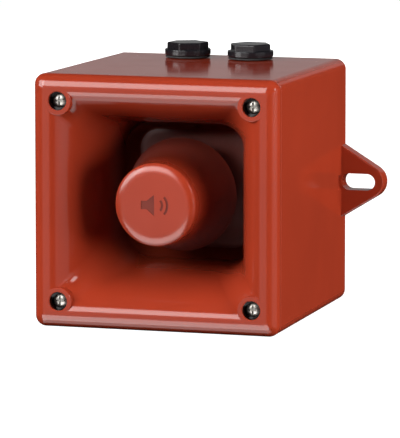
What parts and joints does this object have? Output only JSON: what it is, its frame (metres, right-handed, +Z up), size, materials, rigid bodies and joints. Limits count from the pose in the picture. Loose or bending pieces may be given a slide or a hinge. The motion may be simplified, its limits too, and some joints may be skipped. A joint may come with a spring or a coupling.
{
  "type": "alarm siren",
  "caption": "Square wall-mounted alarm siren with a re-entrant horn behind a round cap, slotted side lugs and two plugged cable entries on top.",
  "frame": {"origin": "centre of the flat back face that meets the wall", "axes": "+Y into the wall, -Y out of the horn's mouth, +X to the right seen from the front, +Z up with the cable entries on top"},
  "size_m": [0.1794, 0.136, 0.1419],
  "materials": {
    "red_plastic": "glossy moulded plastic, fine orange peel",
    "black_plastic": "satin moulded plastic",
    "black_rubber": "matt rubber",
    "grey_silicone": "soft silicone",
    "white_nylon": "natural nylon",
    "stainless_steel": "bright stainless",
    "brass": "turned brass",
    "plated_steel": "zinc plated",
    "cast_zinc": "die cast, lightly grained",
    "aluminium": "extruded",
    "ferrite": "sintered ferrite",
    "copper_winding": "enamelled copper wire",
    "phenolic": "phenolic impregnated cloth",
    "board_green": "solder resist over glass laminate",
    "blue_plastic": "moulded plastic",
    "green_plastic": "moulded plastic",
    "lamination": "varnished steel laminations",
    "lead_red": "PVC insulation",
    "lead_black": "PVC insulation"
  },
  "bodies": {
    "housing": {"rear_housing": "red_plastic", "pillar_insert_1": "brass", "pillar_insert_2": "brass", "pillar_insert_3": "brass", "pillar_insert_4": "brass", "circuit_board": "board_green", "board_screw_1": "plated_steel", "board_screw_2": "plated_steel", "board_screw_3": "plated_steel", "connector_header": "white_nylon", "terminal_block": "green_plastic", "terminal_screw_1": "plated_steel", "terminal_screw_2": "plated_steel", "terminal_screw_3": "plated_steel", "terminal_screw_4": "plated_steel", "tone_switch": "blue_plastic", "volume_control": "blue_plastic", "transformer_core": "lamination", "transformer_winding": "copper_winding", "reservoir_capacitor_1": "black_plastic", "reservoir_capacitor_2": "black_plastic", "heat_sink": "aluminium", "power_transistor": "black_plastic", "tone_chip": "black_plastic"},
    "front_assembly": {"front_horn": "red_plastic", "front_seal": "grey_silicone", "cover_screw_1": "stainless_steel", "cover_screw_2": "stainless_steel", "cover_screw_3": "stainless_steel", "cover_screw_4": "stainless_steel", "reentrant_bell": "red_plastic", "sound_tube": "red_plastic", "driver_gasket": "black_rubber", "driver_front_plate": "cast_zinc", "diaphragm_ring": "black_plastic", "diaphragm_surround": "phenolic", "top_plate": "plated_steel", "ring_magnet": "ferrite", "pole_piece": "plated_steel", "driver_screw_1": "plated_steel", "driver_screw_2": "plated_steel", "driver_screw_3": "plated_steel", "driver_screw_4": "plated_steel", "driver_terminals": "black_plastic", "driver_lead_red": "lead_red", "driver_lead_black": "lead_black", "driver_connector": "white_nylon"},
    "diaphragm": {"diaphragm_dome": "phenolic", "voice_coil": "copper_winding"},
    "plug_seal_1": {"plug_seal_1": "black_rubber"},
    "entry_plug_1": {"entry_plug_1": "black_plastic"},
    "plug_seal_2": {"plug_seal_2": "black_rubber"},
    "entry_plug_2": {"entry_plug_2": "black_plastic"},
    "tone_slider_1": {"tone_slider_1": "white_nylon"},
    "tone_slider_2": {"tone_slider_2": "white_nylon"},
    "tone_slider_3": {"tone_slider_3": "white_nylon"},
    "tone_slider_4": {"tone_slider_4": "white_nylon"},
    "tone_slider_5": {"tone_slider_5": "white_nylon"},
    "volume_rotor": {"volume_rotor": "white_nylon"}
  },
  "joints": [
    {"name": "front_release", "type": "slide", "parent": "housing", "child": "front_assembly", "axis": [0, -1, 0], "range_m": [0, 0.12]},
    {"name": "diaphragm_travel", "type": "slide", "parent": "front_assembly", "child": "diaphragm", "axis": [0, -1, 0], "range_m": [-0.0004, 0.0004], "stiffness_N_per_m": 4000},
    {"name": "plug_lift_1", "type": "slide", "parent": "housing", "child": "plug_seal_1", "axis": [0, 0, 1], "range_m": [0, 0.012]},
    {"name": "plug_turn_1", "type": "hinge", "parent": "plug_seal_1", "child": "entry_plug_1", "pos_m": [-0.0178, -0.0204, 0.068], "axis": [0, 0, 1], "range_deg": [0, 2880]},
    {"name": "plug_lift_2", "type": "slide", "parent": "housing", "child": "plug_seal_2", "axis": [0, 0, 1], "range_m": [0, 0.012]},
    {"name": "plug_turn_2", "type": "hinge", "parent": "plug_seal_2", "child": "entry_plug_2", "pos_m": [0.0178, -0.0204, 0.068], "axis": [0, 0, 1], "range_deg": [0, 2880]},
    {"name": "tone_switch_1", "type": "slide", "parent": "housing", "child": "tone_slider_1", "axis": [1, 0, 0], "range_m": [0, 0.0014]},
    {"name": "tone_switch_2", "type": "slide", "parent": "housing", "child": "tone_slider_2", "axis": [1, 0, 0], "range_m": [0, 0.0014]},
    {"name": "tone_switch_3", "type": "slide", "parent": "housing", "child": "tone_slider_3", "axis": [1, 0, 0], "range_m": [0, 0.0014]},
    {"name": "tone_switch_4", "type": "slide", "parent": "housing", "child": "tone_slider_4", "axis": [1, 0, 0], "range_m": [0, 0.0014]},
    {"name": "tone_switch_5", "type": "slide", "parent": "housing", "child": "tone_slider_5", "axis": [1, 0, 0], "range_m": [0, 0.0014]},
    {"name": "volume_turn", "type": "hinge", "parent": "housing", "child": "volume_rotor", "pos_m": [-0.04, -0.0163, -0.007], "axis": [0, -1, 0], "range_deg": [-135, 135]}
  ],
  "couplings": [
    {"joint": "plug_turn_1", "follows": "plug_lift_1", "rad_per_m": 4188.8},
    {"joint": "plug_turn_2", "follows": "plug_lift_2", "rad_per_m": 4188.8}
  ]
}
